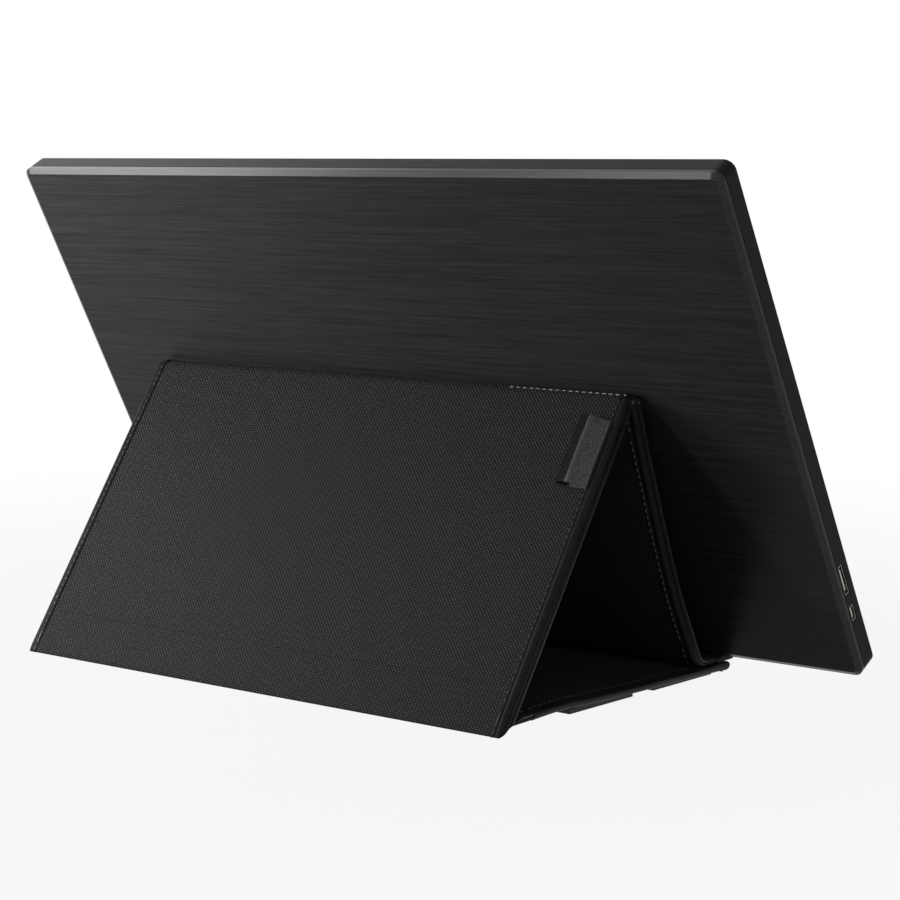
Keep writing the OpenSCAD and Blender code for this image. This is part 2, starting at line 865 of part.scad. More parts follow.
base_board();
base_shell();
base_lining();
base_binding();
base_magnets();
grip_pads();
rear_board();
rear_foam();
rear_shell();
rear_lining();
rear_binding();
heel_fold();
apex_fold();
label_tag();
support_board();
support_foam();
support_shell();
support_lining();
support_binding();
foot_board();
foot_sleeve();
foot_binding();
foot_magnets();
lip_board();
lip_sleeve();
lip_binding();
rear_cover();
front_frame();
screen_glass();
film_stack();
light_guide();
led_bar();
panel_tray();
foam_strips();
panel_driver();
panel_flex();
main_board();
board_screws();
shield_can();
data_port();
video_port();
key_board();
key_flex();
power_key();
up_key();
down_key();
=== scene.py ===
# Portable monitor that leans on its folded fabric cover.
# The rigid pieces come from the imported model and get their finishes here. The cover's cloth,
# binding, stitches and tag are modelled flat, as they are cut and sewn, and then folded round
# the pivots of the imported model's joints.
import json
import math
import bpy
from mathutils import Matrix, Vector

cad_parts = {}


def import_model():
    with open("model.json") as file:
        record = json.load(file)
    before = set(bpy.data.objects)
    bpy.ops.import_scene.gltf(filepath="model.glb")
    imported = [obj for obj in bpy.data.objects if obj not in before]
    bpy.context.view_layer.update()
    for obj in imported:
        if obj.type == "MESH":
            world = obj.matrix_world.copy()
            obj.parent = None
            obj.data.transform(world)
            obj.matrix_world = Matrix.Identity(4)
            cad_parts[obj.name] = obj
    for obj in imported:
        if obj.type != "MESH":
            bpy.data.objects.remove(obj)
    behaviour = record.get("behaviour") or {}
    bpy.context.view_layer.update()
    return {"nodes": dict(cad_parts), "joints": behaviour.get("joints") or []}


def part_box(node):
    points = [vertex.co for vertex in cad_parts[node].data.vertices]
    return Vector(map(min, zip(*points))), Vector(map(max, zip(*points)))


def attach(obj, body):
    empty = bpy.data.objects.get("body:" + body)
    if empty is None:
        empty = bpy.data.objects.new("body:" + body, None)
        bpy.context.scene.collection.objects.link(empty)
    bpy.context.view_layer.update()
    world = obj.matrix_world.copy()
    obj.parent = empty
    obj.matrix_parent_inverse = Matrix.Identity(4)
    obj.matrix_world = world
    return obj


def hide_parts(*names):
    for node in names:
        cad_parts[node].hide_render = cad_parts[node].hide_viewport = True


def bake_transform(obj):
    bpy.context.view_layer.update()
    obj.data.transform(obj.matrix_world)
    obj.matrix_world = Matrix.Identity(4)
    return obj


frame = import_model()

MM = 0.001

# ---------------------------------------------------------------- camera
# Solved from the straight edges of the monitor in the photograph.
CAMERA_AT = (-0.70256, 0.84515, 0.22254)
CAMERA_YAW = math.radians(220.332)
CAMERA_TILT = math.radians(84.658)
CAMERA_LENS = 101.678
CAMERA_SHIFT = (0.08653, -0.06524)

camera_data = bpy.data.cameras.new("camera")
camera_data.lens = CAMERA_LENS
camera_data.sensor_width = 36
camera_data.sensor_fit = "HORIZONTAL"
camera_data.shift_x, camera_data.shift_y = CAMERA_SHIFT
camera_data.clip_start = 0.05
camera_data.clip_end = 30
camera = bpy.data.objects.new("camera", camera_data)
camera.location = CAMERA_AT
camera.rotation_euler = (CAMERA_TILT, 0, CAMERA_YAW)
bpy.context.scene.collection.objects.link(camera)
bpy.context.scene.camera = camera
bpy.context.scene.view_settings.view_transform = "Standard"


# ---------------------------------------------------------------- materials
def linear(code):
    """An sRGB hex colour as linear red, green, blue and alpha."""
    parts = [int(code[i:i + 2], 16) / 255 for i in (1, 3, 5)]
    return [p / 12.92 if p <= 0.04045 else ((p + 0.055) / 1.055) ** 2.4 for p in parts] + [1]


def add(tree, kind, settings=(), links=()):
    """Adds a shader node.

    A setting goes to the input of that name or number, or else to the node's property."""
    node = tree.nodes.new("ShaderNode" + kind)
    for key, value in dict(settings).items():
        if isinstance(key, int) or key in node.inputs:
            node.inputs[key].default_value = value
        else:
            setattr(node, key, value)
    for key, source in dict(links).items():
        tree.links.new(source, node.inputs[key])
    return node


def finish_of(name, colour, roughness, **sockets):
    """A material with its plain values on the shader's own sockets."""
    material = bpy.data.materials.new(name)
    material.use_nodes = True
    shader = material.node_tree.nodes["Principled BSDF"]
    shader.inputs["Base Color"].default_value = linear(colour)
    shader.inputs["Roughness"].default_value = roughness
    for key, value in sockets.items():
        shader.inputs[key.replace("_", " ")].default_value = value
    return material, material.node_tree, shader


def shades(tree, shader, factor, dark, light, low=0.0, high=1.0):
    """Lets a pattern run the base colour from one shade to another, between two of its levels."""
    ramp = add(tree, "ValToRGB", links={"Fac": factor})
    for element, place, code in zip(ramp.color_ramp.elements, (low, high), (dark, light)):
        element.position = place
        element.color = linear(code)
    tree.links.new(ramp.outputs["Color"], shader.inputs["Base Color"])


def roughened(tree, shader, factor, smooth, rough):
    """Lets a pattern run the roughness from one value to another."""
    spread = add(tree, "MapRange", {"To Min": smooth, "To Max": rough}, {"Value": factor})
    tree.links.new(spread.outputs["Result"], shader.inputs["Roughness"])


def bumped(tree, shader, height, depth, strength=1.0):
    """Lets a pattern stand out of the surface, by a depth in metres."""
    bump = add(tree, "Bump", {"Distance": depth, "Strength": strength}, {"Height": height})
    tree.links.new(bump.outputs["Normal"], shader.inputs["Normal"])


def grain(tree, size, detail=4.0, rough=0.6, stretch=(1, 1, 1), turn=(0, 0, 0)):
    """Noise with grains of a real size in metres, on object coordinates."""
    place = add(tree, "TexCoord")
    mapping = add(tree, "Mapping", {"Rotation": turn, "Scale": stretch},
                  {"Vector": place.outputs["Object"]})
    return add(tree, "TexNoise", {"Scale": 1 / size, "Detail": detail, "Roughness": rough},
               {"Vector": mapping.outputs["Vector"]}).outputs["Fac"]


def joint(name):
    return [j for j in frame["joints"] if j["name"] == name][0]


# The monitor's lean from the desk: it lifts along its own plane
up = Vector(joint("monitor_lift")["axis"])
LEAN = math.atan2(up.z, up.y)


def brushed_abs():
    """Moulded ABS, lacquered and brushed: fine dark lines along the width break up its sheen."""
    material, tree, shader = finish_of("brushed ABS", "#2e2e2f", 0.42)
    # the gloss is narrow along the lines and wide across them
    along = add(tree, "Tangent", {"direction_type": "RADIAL", "axis": "X"})
    tree.links.new(along.outputs["Tangent"], shader.inputs["Tangent"])
    # strokes 1.5 mm wide and 125 mm long, and others 0.8 mm wide and 40 mm long, each with finer
    # hairlines in it
    lines = grain(tree, 1.5 * MM, 5, 0.8, (0.012, 1, 1), (-LEAN, 0, 0))
    fine = grain(tree, 0.8 * MM, 3, 0.7, (0.02, 1, 1), (-LEAN, 0, 0))
    both = add(tree, "Mix", {"data_type": "FLOAT", "Factor": 0.5}, {"A": lines, "B": fine})
    pattern = both.outputs["Result"]
    shades(tree, shader, pattern, "#1c1c1d", "#3a3a3c", 0.36, 0.66)
    bumped(tree, shader, pattern, 0.00008, 0.4)
    # the narrow slope round the back is left smooth, so it is glossier than the brushed field
    back = (0, math.sin(LEAN), -math.cos(LEAN))
    facing = add(tree, "VectorMath", {"operation": "DOT_PRODUCT", 1: back},
                 {0: add(tree, "NewGeometry").outputs["True Normal"]}).outputs["Value"]

    def from_slope_to_field(slope, field):
        return add(tree, "MapRange",
                   {"From Min": 0.93, "From Max": 0.97, "To Min": slope, "To Max": field},
                   {"Value": facing}).outputs["Result"]

    side = add(tree, "Math", {"operation": "LESS_THAN", 1: 0.5}, {0: facing}).outputs["Value"]
    gloss = add(tree, "Mix", {"data_type": "FLOAT", "B": 0.1},
                {"Factor": side, "A": from_slope_to_field(0.22, 0.08)}).outputs["Result"]
    tree.links.new(gloss, shader.inputs["Specular IOR Level"])
    tree.links.new(from_slope_to_field(0.0, 0.75), shader.inputs["Anisotropic"])
    tree.links.new(from_slope_to_field(0.29, 0.44), shader.inputs["Roughness"])
    return material


def satin_abs():
    """Moulded ABS with a fine spark-eroded grain: an even, soft sheen."""
    material, tree, shader = finish_of("satin ABS", "#1c1c1d", 0.45, Specular_IOR_Level=0.04)
    pattern = grain(tree, 0.0006)
    shades(tree, shader, pattern, "#18181a", "#202021", 0.3, 0.7)
    roughened(tree, shader, pattern, 0.4, 0.5)
    bumped(tree, shader, pattern, 0.00003)
    return material


def key_abs():
    """Moulded ABS key caps, polished by fingers: a little glossier than the frame."""
    material, tree, shader = finish_of("polished ABS", "#202022", 0.32)
    pattern = grain(tree, 0.0008)
    roughened(tree, shader, pattern, 0.28, 0.38)
    bumped(tree, shader, pattern, 0.00002)
    return material


def screen_film():
    """Anti-glare film on the display glass: nearly black, with a fine etched haze."""
    material, tree, shader = finish_of("anti-glare film", "#08080a", 0.3, Specular_IOR_Level=0.25)
    pattern = grain(tree, 0.0004)
    roughened(tree, shader, pattern, 0.24, 0.34)
    bumped(tree, shader, pattern, 0.00001)
    return material


def plated_steel(name, colour, roughness):
    """Nickel plate on steel: pale warm metal with faint rolling lines."""
    material, tree, shader = finish_of(name, colour, roughness, Metallic=1.0)
    pattern = grain(tree, 0.0006, 3, 0.5, (0.2, 1, 1))
    roughened(tree, shader, pattern, roughness - 0.06, roughness + 0.08)
    bumped(tree, shader, pattern, 0.00002)
    return material


def plain(name, dark, light, roughness, size, depth):
    """A finish whose grain only mottles it a little."""
    material, tree, shader = finish_of(name, dark, roughness)
    pattern = grain(tree, size)
    shades(tree, shader, pattern, dark, light, 0.3, 0.7)
    roughened(tree, shader, pattern, roughness - 0.05, roughness + 0.05)
    bumped(tree, shader, pattern, depth)
    return material


# Distance between two yarns of the cloth: a little more than the real 0.7 mm, so that they show
YARN = 0.85 * MM


def woven(name, dark, light, roughness, depth):
    """Plain weave of bulked nylon yarn: a round bead where a warp yarn comes up, with a painted
    highlight on the bead and painted shade between.
    """
    material, tree, shader = finish_of(name, light, roughness, Specular_IOR_Level=0.06)
    flat = add(tree, "UVMap", {"uv_map": "cloth"})
    # a slight wander keeps the yarns from looking ruled
    wander = add(tree, "TexNoise", {"Scale": 300, "Detail": 1}, {"Vector": flat.outputs["UV"]})
    drift = add(tree, "VectorMath", {"operation": "SCALE", "Scale": 0.2 * MM},
                {"Vector": wander.outputs["Color"]})
    moved = add(tree, "VectorMath", {"operation": "ADD"},
                {0: flat.outputs["UV"], 1: drift.outputs["Vector"]})
    counted = add(tree, "Mapping", {"Scale": (math.pi / YARN, math.pi / YARN, 1)},
                  {"Vector": moved.outputs["Vector"]})
    axes = add(tree, "SeparateXYZ", links={"Vector": counted.outputs["Vector"]})
    across = add(tree, "Math", {"operation": "SINE"}, {0: axes.outputs["X"]})
    along = add(tree, "Math", {"operation": "SINE"}, {0: axes.outputs["Y"]})
    over = add(tree, "Math", {"operation": "MULTIPLY"},
               {0: across.outputs["Value"], 1: along.outputs["Value"]}).outputs["Value"]
    # warp yarns lie on top where the product is above zero, their colour a painted highlight; the
    # weft between them gets painted shade
    warp = add(tree, "Math", {"operation": "MAXIMUM", 1: 0.0}, {0: over}).outputs["Value"]
    warp = add(tree, "Math", {"operation": "POWER", 1: 1.5}, {0: warp}).outputs["Value"]
    weft = add(tree, "MapRange", {"From Min": 0.0, "From Max": -1.0, "To Min": 0.0, "To Max": 0.16},
               {"Value": over}).outputs["Result"]
    bead = add(tree, "Math", {"operation": "ADD"}, {0: warp, 1: weft}).outputs["Value"]
    # no two yarns take the dye quite alike
    thread = add(tree, "TexNoise", {"Scale": 900, "Detail": 3}, {"Vector": flat.outputs["UV"]})
    uneven = add(tree, "MapRange",
                 {"From Min": 0.35, "From Max": 0.65, "To Min": 0.72, "To Max": 1.1},
                 {"Value": thread.outputs["Fac"]}).outputs["Result"]
    # the painted highlight and shade of the yarns, times the uneven dye, run the colour
    shade = add(tree, "Math", {"operation": "MULTIPLY"}, {0: bead, 1: uneven}).outputs["Value"]
    shades(tree, shader, shade, dark, light, 0.0, 1.0)
    bumped(tree, shader, bead, depth, 0.6)
    return material


def knit_lining():
    """Brushed polyester tricot: a matte, faintly furry lining with fine ribs."""
    material, tree, shader = finish_of("tricot lining", "#1d1d1e", 0.85, Specular_IOR_Level=0.04)
    flat = add(tree, "UVMap", {"uv_map": "cloth"})
    ribs = add(tree, "TexWave", {"Scale": math.pi / 10 / (1.1 * MM), "Distortion": 1.0,
                                 "Detail": 2.0, "Detail Scale": 3.0},
               {"Vector": flat.outputs["UV"]}).outputs["Fac"]
    fur = add(tree, "TexNoise", {"Scale": 1200, "Detail": 4}, {"Vector": flat.outputs["UV"]})
    pattern = add(tree, "Mix", {"data_type": "FLOAT", "Factor": 0.6},
                  {"A": ribs, "B": fur.outputs["Fac"]}).outputs["Result"]
    shades(tree, shader, pattern, "#191919", "#2a2a2b", 0.25, 0.8)
    bumped(tree, shader, pattern, 0.00012, 0.6)
    return material


def coated_binding(name, dark, light, roughness, gloss):
    """Polyurethane coated tape: fine leather pores, a soft gloss on its rolled edges."""
    material, tree, shader = finish_of(name, light, roughness, Specular_IOR_Level=gloss)
    pores = add(tree, "TexVoronoi", {"Scale": 1 / (0.7 * MM), "feature": "DISTANCE_TO_EDGE"},
                {"Vector": add(tree, "TexCoord").outputs["Object"]}).outputs["Distance"]
    cloudy = grain(tree, 0.004, 3)
    shades(tree, shader, cloudy, dark, light, 0.3, 0.7)
    roughened(tree, shader, cloudy, roughness - 0.06, roughness + 0.08)
    bumped(tree, shader, pores, 0.00006, 0.7)
    return material


def tag_leather():
    """Polyurethane leather pressed with 1.2 mm pebbles, with painted shade darkening the loop's
    bend.
    """
    material, tree, shader = finish_of("embossed polyurethane label", "#444445", 0.42)
    pebbles = add(tree, "TexVoronoi", {"Scale": 1 / (1.2 * MM), "feature": "DISTANCE_TO_EDGE"},
                  {"Vector": add(tree, "TexCoord").outputs["Object"]}).outputs["Distance"]
    flat = add(tree, "UVMap", {"uv_map": "cloth"}).outputs["UV"]
    across = add(tree, "SeparateXYZ", links={"Vector": flat}).outputs["X"]
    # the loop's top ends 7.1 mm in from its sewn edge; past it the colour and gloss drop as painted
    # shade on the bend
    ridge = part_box("label_tag")[0][0] + 7.1 * MM
    painted_bend_shade = add(tree, "MapRange",
              {"From Min": ridge, "From Max": ridge + 0.6 * MM, "To Min": 1.0, "To Max": 0.12},
              {"Value": across}).outputs["Result"]
    crown = add(tree, "MapRange", {"From Min": 0.0, "From Max": 0.3, "To Min": 0.5, "To Max": 1.0},
                {"Value": pebbles}).outputs["Result"]
    shade = add(tree, "Math", {"operation": "MULTIPLY"}, {0: crown, 1: painted_bend_shade}).outputs["Value"]
    shades(tree, shader, shade, "#0e0e0f", "#505052")
    gloss = add(tree, "Math", {"operation": "MULTIPLY", 1: 0.28}, {0: shade}).outputs["Value"]
    tree.links.new(gloss, shader.inputs["Specular IOR Level"])
    bumped(tree, shader, pebbles, 0.00025, 0.7)
    return material


def sewing_thread(name, dark, light):
    """Bonded nylon thread, with a waxy shine; its twist, too fine to see, is painted into the
    colour as a glint.
    """
    material, tree, shader = finish_of(name, light, 0.38)
    twist = add(tree, "TexWave", {"Scale": 1 / (0.4 * MM) / 3, "Distortion": 0.5},
                {"Vector": add(tree, "TexCoord").outputs["Object"]}).outputs["Fac"]
    # the twist runs the colour as a painted glint
    shades(tree, shader, twist, dark, light)
    bumped(tree, shader, twist, 0.00005)
    return material


BRUSHED = brushed_abs()
SATIN = satin_abs()
KEYS = key_abs()
SCREEN = screen_film()
PORT_STEEL = plated_steel("nickel plated steel", "#b9b6b0", 0.3)
SCREW_STEEL = plated_steel("zinc plated steel", "#9c9fa3", 0.34)
TRAY = plated_steel("rolled aluminium sheet", "#c4c7cb", 0.38)
WEAVE = woven("ballistic nylon", "#020202", "#666668", 0.62, 0.00012)
LINING = knit_lining()
BINDING = coated_binding("polyurethane coated tape", "#19191a", "#252526", 0.40, 0.05)
# the cord's copy of the tape: glossier, and lighter as a painted highlight
GLOSSY_PIPING_PAINTED_HIGHLIGHT = coated_binding("polyurethane coated piping, lighter as painted highlight", "#252526", "#363638", 0.34, 0.2)
TAG_LEATHER = tag_leather()
THREAD = sewing_thread("bonded nylon thread", "#171718", "#2c2c2d")
PALE_THREAD = sewing_thread("bonded nylon thread undyed", "#808080", "#a8a8a8")
RUBBER = plain("thermoplastic rubber", "#141414", "#1c1c1c", 0.7, 0.0009, 0.00004)
FIBREBOARD = plain("grey fibreboard", "#7d766a", "#989081", 0.85, 0.0015, 0.00006)
FOAM = plain("polyethylene foam", "#8c8c8c", "#a6a6a6", 0.9, 0.0012, 0.0001)
SOLDER_MASK = plain("green solder mask", "#0c4425", "#125a33", 0.35, 0.004, 0.00002)
POLYIMIDE = plain("polyimide film", "#a8661c", "#c07a28", 0.25, 0.006, 0.00001)
DIFFUSER = plain("polyester diffuser film", "#dcdcdc", "#e8e8e8", 0.5, 0.002, 0.00001)
LED_TAPE = plain("phosphor coated strip", "#c9b75e", "#e0d27c", 0.5, 0.003, 0.00004)
ACRYLIC = plain("acrylic light guide", "#cfd8dc", "#dbe3e6", 0.12, 0.01, 0.00001)

NODE_FINISH = {
    "rear_cover": BRUSHED, "front_frame": SATIN, "screen_glass": SCREEN,
    "film_stack": DIFFUSER, "light_guide": ACRYLIC, "led_bar": LED_TAPE, "panel_tray": TRAY,
    "foam_strips": FOAM, "panel_driver": SOLDER_MASK, "panel_flex": POLYIMIDE,
    "main_board": SOLDER_MASK, "board_screws": SCREW_STEEL, "shield_can": PORT_STEEL,
    "data_port": PORT_STEEL, "video_port": PORT_STEEL, "key_board": SOLDER_MASK,
    "key_flex": POLYIMIDE, "power_key": KEYS, "up_key": KEYS, "down_key": KEYS,
    "base_magnets": SCREW_STEEL, "foot_magnets": SCREW_STEEL, "grip_pads": RUBBER,
    "rear_board": FIBREBOARD, "foot_board": FIBREBOARD, "lip_board": FIBREBOARD, "rear_foam": FOAM,
}
for node_name, node_finish in NODE_FINISH.items():
    node_object = frame["nodes"][node_name]
    node_object.data.materials.clear()
    node_object.data.materials.append(node_finish)


# ---------------------------------------------------------------- the cover's fold lines
# Side profile in millimetres: [y, z]. The cover is one strip from the front edge of the base,
# round the heel, up the rear panel, over the apex, down the support panel, and along the foot
# to the lip. Each ring below is a distance along the strip, the point on the side that faces
# the prism's inside, and the point on the other side.
def pivot(name):
    place = joint(name)["pos_m"]
    return Vector((place[1] / MM, place[2] / MM))


REAR, APEX = pivot("rear_fold"), pivot("apex_fold_turn")
FOOT, LIP = pivot("foot_fold"), pivot("lip_fold")
BASE_T, PANEL_T, FOOT_T = 3.1, 5.0, 2.3  # thickness of the base, of the padded panels, of the foot
LIP_L = 14.0
X_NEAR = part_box("rear_binding")[0][0] / MM
X_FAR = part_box("rear_binding")[1][0] / MM
BASE_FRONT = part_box("base_board")[0][1] / MM
BASE_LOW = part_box("base_shell")[0][2] / MM
REAR_L = (APEX - REAR).length
REAR_DIR = math.atan2(APEX.y - REAR.y, APEX.x - REAR.x)
down = FOOT - APEX
SUPPORT_L = math.sqrt(down.length ** 2 - PANEL_T ** 2)
SUPPORT_DIR = math.atan2(down.y, down.x) + math.atan(PANEL_T / SUPPORT_L) + 2 * math.pi
LIP_DIR = math.radians(180 - 54)


def unit(a):
    """The direction at an angle from the desk."""
    return Vector((math.cos(a), math.sin(a)))


def normal(a):
    """The direction square to it, away from the prism's inside."""
    return Vector((math.sin(a), -math.cos(a)))


def at(p, a, s, t):
    """The point that lies s along a panel from its pivot, and t through it."""
    return p + s * unit(a) + t * normal(a)


def through_marks(marks, x):
    """A smooth curve through marks, level at both ends."""
    last = len(marks) - 1
    i = next((k for k in range(1, last) if x <= marks[k][0]), last)

    def slope(k):
        if k in (0, last):
            return 0
        return (marks[k + 1][1] - marks[k - 1][1]) / (marks[k + 1][0] - marks[k - 1][0])

    (a, low), (b, high) = marks[i - 1], marks[i]
    f = min(max((x - a) / (b - a), 0), 1)
    rise = f * f * (3 - 2 * f)
    leave, arrive = f * (1 - f) ** 2, f * f * (f - 1)
    return low + (high - low) * rise + (b - a) * (slope(i - 1) * leave + slope(i) * arrive)


# How far the base springs up off the desk at each y, and how far the loaded support panel
# is bent at each distance down from the apex (minus is towards the prism's inside)
SAG = [(-80, 0.0), (-51, 0.4), (-25, 0.8), (-4.5, 1.0), (27, 1.7), (40, 2.2), (49, 2.3), (60, 1.9),
       (68, 1.5), (76, 1.35)]
BOW = [(0, 0.0), (17, -1.3), (37, -1.9), (58, -2.5), (75, -2.7), (92, -2.2), (108, -0.7),
       (122, 0.2)]


def sag(y):
    return through_marks(SAG, y)


def bow(s):
    return through_marks(BOW, s)


rings = []


def ring(distance, inner, outer):
    """Adds the cut through the cover at a distance along the strip."""
    rings.append((distance, Vector(inner), Vector(outer)))


# base, front edge to heel
HEEL_START = 4    # how far before its pivot the heel's bend begins
HEEL_STEP = 2     # distance between the heel's rings
BASE_END = REAR.x - BASE_FRONT - HEEL_START
BASE_STEPS = 30
for i in range(BASE_STEPS + 1):
    s = BASE_END * i / BASE_STEPS
    y = BASE_FRONT + s
    ring(s, (y, REAR.y + sag(y)), (y, BASE_LOW + sag(y)))
# heel: the outside runs out to a corner on the desk, the inside turns on the pivot
heel_low = at(REAR, REAR_DIR, 0, PANEL_T)
heel_rise = (0.3 - heel_low.y) / unit(REAR_DIR).y
heel_corner = at(REAR, REAR_DIR, heel_rise, PANEL_T)
under = Vector((REAR.x - HEEL_START, BASE_LOW + sag(REAR.x - HEEL_START)))
heel_outer = [Vector((under.x + (heel_corner.x - under.x) * f,
                      heel_corner.y + (under.y - heel_corner.y) * g))
              for f, g in ((0.25, 0.98), (0.5, 0.9), (0.68, 0.7), (0.85, 0.27))]
heel_outer += [at(REAR, REAR_DIR, heel_rise + d, PANEL_T - c)
               for d, c in ((0.0, 0.6), (0.9, 0.2), (3.0, 0.04), (5.6, 0))]
heel_inner = [(REAR.x + d, REAR.y + r) for d, r in
              ((-3.0, 0.75), (-2.1, 0.55), (-1.3, 0.35), (-0.7, 0.2), (-0.35, 0.15), (-0.2, 0.3))]
heel_inner += [at(REAR, REAR_DIR, 1.6, 0.02), at(REAR, REAR_DIR, 3.2, 0)]
for i, (inner, outer) in enumerate(zip(heel_inner, heel_outer)):
    ring(BASE_END + HEEL_STEP * (i + 1), inner, outer)
# rear panel, its own distances counted from the pivot; it starts straight above the heel
REAR_START = 5
REAR_S = BASE_END + HEEL_STEP * (len(heel_outer) + 1) - REAR_START
for i in range(25):
    s = REAR_START + (REAR_L - REAR_START) * i / 24
    ring(REAR_S + s, at(REAR, REAR_DIR, s, 0), at(REAR, REAR_DIR, s, PANEL_T))
# apex: the outside rounds the pivot
APEX_S = REAR_S + REAR_L
APEX_W = 8.0
for i in range(1, 15):
    share = i / 15
    angle = REAR_DIR + (SUPPORT_DIR - REAR_DIR) * share
    ring(APEX_S + APEX_W * share, APEX, APEX + PANEL_T * normal(angle))
SUPPORT_S = APEX_S + APEX_W
# foot fold: both sides turn round one centre on the monitor's side, so the crease is soft
FOLD_R = 6.0
half_turn = (SUPPORT_DIR - math.pi) / 2
fold_back = FOLD_R * math.tan(half_turn)
support_run = SUPPORT_L - fold_back
for i in range(29):
    s = support_run * i / 28
    ring(SUPPORT_S + s, at(APEX, SUPPORT_DIR, s, bow(s)),
         at(APEX, SUPPORT_DIR, s, PANEL_T + bow(s)))
FOOTFOLD_S = SUPPORT_S + support_run
FOOTFOLD_W = 8.0
fold_centre = at(APEX, SUPPORT_DIR, support_run, PANEL_T + FOLD_R)
for i in range(1, 12):
    share = i / 12
    out = -normal(SUPPORT_DIR + (math.pi - SUPPORT_DIR) * share)
    thin = PANEL_T + (FOOT_T - PANEL_T) * share ** 0.7
    ring(FOOTFOLD_S + FOOTFOLD_W * share, fold_centre + (FOLD_R + thin) * out,
         fold_centre + FOLD_R * out)
FOOT_S = FOOTFOLD_S + FOOTFOLD_W
FOOT_L = FOOT.x - fold_back - LIP.x
for i in range(9):
    y = FOOT.x - fold_back - FOOT_L * i / 8
    ring(FOOT_S + FOOT_L * i / 8, (y, FOOT.y - FOOT_T), (y, FOOT.y))
LIPFOLD_S = FOOT_S + FOOT_L
LIPFOLD_W = 3.0
for i in range(1, 8):
    share = i / 8
    angle = math.pi + (LIP_DIR - math.pi) * share
    ring(LIPFOLD_S + LIPFOLD_W * share, LIP - FOOT_T * normal(angle), LIP)
LIP_S = LIPFOLD_S + LIPFOLD_W
for i in range(6):
    s = LIP_L * i / 5
    ring(LIP_S + s, at(LIP, LIP_DIR, s, -FOOT_T), at(LIP, LIP_DIR, s, 0))
LIP_END = LIP_S + LIP_L


# true lengths along both faces, so that the weave stays even round the folds
RUNS = [[0.0], [0.0]]
for before, after in zip(rings, rings[1:]):
    for run, side in zip(RUNS, (1, 2)):
        run.append(run[-1] + (after[side] - before[side]).length)


def where(s):
    """The ring before a distance along the strip, and the share of the way to the next."""
    i = 0
    while i < len(rings) - 2 and rings[i + 1][0] < s:
        i += 1
    return i, (s - rings[i][0]) / (rings[i + 1][0] - rings[i][0])


def folded(x, s, t, thick):
    """Where a point of the flat cover lies once it is folded: x across, s along, t through it."""
    i, share = where(min(max(s, rings[0][0] - 3), rings[-1][0] + 3))
    (s0, in0, out0), (s1, in1, out1) = rings[i], rings[i + 1]
    inner = in0 + (in1 - in0) * share
    outer = out0 + (out1 - out0) * share
    through = outer - inner
    inside = min(max(t / thick, 0), 1)
    proud = t - inside * thick
    p = inner + through * inside + through.normalized() * proud
    return Vector((x * MM, p.x * MM, p.y * MM))


# ---------------------------------------------------------------- modelling helpers
def alone(piece):
    """Selects one piece and nothing else."""
    bpy.ops.object.select_all(action="DESELECT")
    piece.select_set(True)
    bpy.context.view_layer.objects.active = piece


def block(name, low, high):
    """A cube primitive at its size and place, in the flat cover's millimetres."""
    bpy.ops.object.select_all(action="DESELECT")
    middle = [(a + b) / 2 for a, b in zip(low, high)]
    bpy.ops.mesh.primitive_cube_add(size=1, location=middle)
    piece = bpy.context.active_object
    piece.name = name
    piece.scale = [b - a for a, b in zip(low, high)]
    bpy.ops.object.transform_apply(location=True, rotation=True, scale=True)
    return piece


def bevel_edges(piece, wanted, width, segments):
    """Rounds the edges whose two ends both satisfy wanted."""
    alone(piece)
    bpy.ops.object.mode_set(mode="EDIT")
    bpy.ops.mesh.select_mode(type="EDGE")
    bpy.ops.mesh.select_all(action="DESELECT")
    bpy.ops.object.mode_set(mode="OBJECT")
    mesh = piece.data
    for edge in mesh.edges:
        a, b = (mesh.vertices[i].co for i in edge.vertices)
        edge.select = wanted(a, b)
    bpy.ops.object.mode_set(mode="EDIT")
    bpy.ops.mesh.bevel(offset=width, offset_type="OFFSET", segments=segments, profile=0.5)
    bpy.ops.object.mode_set(mode="OBJECT")


def cut(piece, axis, places):
    """Cuts the mesh across at several places, so that it can bend there."""
    alone(piece)
    bpy.ops.object.mode_set(mode="EDIT")
    bpy.ops.mesh.select_mode(type="FACE")
    for place in places:
        bpy.ops.mesh.select_all(action="SELECT")
        point, direction = [0, 0, 0], [0, 0, 0]
        point[axis], direction[axis] = place, 1
        bpy.ops.mesh.bisect(plane_co=point, plane_no=direction)
    bpy.ops.object.mode_set(mode="OBJECT")


def between(low, high):
    """The rings' distances that lie inside a stretch of the strip."""
    return [r[0] for r in rings if low + 0.05 < r[0] < high - 0.05]


def sew_in(piece, thick, cloth_side=None):
    """Lays out the cloth's UV map flat, in metres, then folds the piece into place."""
    mesh = piece.data
    layer = mesh.uv_layers.get("cloth") or mesh.uv_layers.new(name="cloth")
    for polygon in mesh.polygons:
        run = RUNS[1 if polygon.center.z > thick / 2 else 0]
        for corner in polygon.loop_indices:
            p = mesh.vertices[mesh.loops[corner].vertex_index].co
            i, share = where(p.y)
            layer.data[corner].uv = (p.x * MM, (run[i] + (run[i + 1] - run[i]) * share) * MM)
        if cloth_side:
            polygon.material_index = cloth_side(polygon)
    for vertex in mesh.vertices:
        vertex.co = folded(*vertex.co, thick)
    mesh.update()
    alone(piece)
    bpy.ops.object.mode_set(mode="EDIT")
    bpy.ops.mesh.select_all(action="SELECT")
    bpy.ops.mesh.normals_make_consistent(inside=False)
    bpy.ops.object.mode_set(mode="OBJECT")
    bpy.ops.object.shade_smooth_by_angle(angle=math.radians(40))


BORDER = 5.5      # width of the binding on a panel's face
PROUD = 0.35      # how far the binding stands off the cloth
TUCK = 1.2        # how far the cloth runs in under the binding
STITCH_IN = 4.4   # distance of the stitch line from the panel's edge


